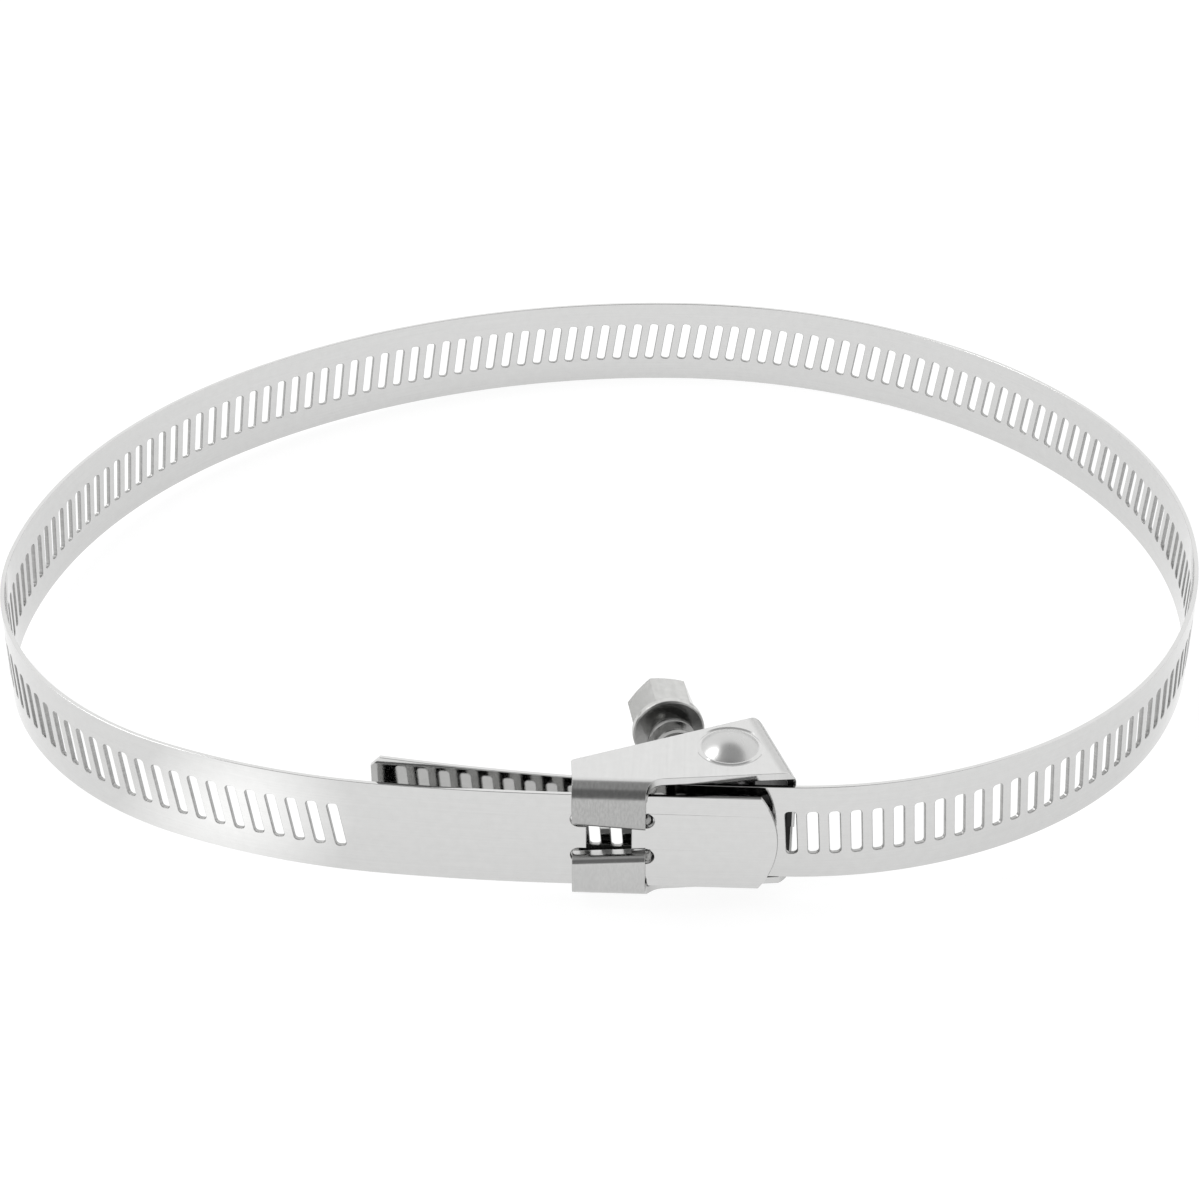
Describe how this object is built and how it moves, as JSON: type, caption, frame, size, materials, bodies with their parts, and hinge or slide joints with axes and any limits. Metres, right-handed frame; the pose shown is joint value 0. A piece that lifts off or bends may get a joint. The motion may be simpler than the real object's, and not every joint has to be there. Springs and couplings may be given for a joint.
{
  "type": "quick release clamp ring",
  "caption": "Perforated steel band clamp bent into a ring, with a folded housing and a hexagon worm screw that swings out to free the band.",
  "frame": {"origin": "middle of the clamp's overall box, level with the middle of the housing, 0.35 mm above the middle of the band", "axes": "+Z along the ring's axis, +X along the plain end from the housing's legs to the tongue, +Y from the housing across the ring"},
  "size_m": [0.1514, 0.1298, 0.0178],
  "materials": {
    "band_steel": "bright rolled stainless, faint brushing along the band",
    "housing_steel": "bright stamped stainless, slightly mottled at the bends",
    "swivel_steel": "turned steel, satin",
    "screw_steel": "plated steel, glossy, darker than the band"
  },
  "bodies": {
    "ring": {"band": "band_steel", "housing": "housing_steel"},
    "swivel": {"swivel": "swivel_steel"},
    "screw": {"screw": "screw_steel"}
  },
  "joints": [
    {"name": "screw_swing", "type": "hinge", "parent": "ring", "child": "swivel", "pos_m": [0.01618, -0.05597, 0], "axis": [0, 0, 1], "range_deg": [-40, 10]},
    {"name": "screw_turn", "type": "hinge", "parent": "swivel", "child": "screw", "pos_m": [0.01175, -0.05677, 0], "axis": [-0.1788, 0.9839, 0], "continuous": true}
  ]
}
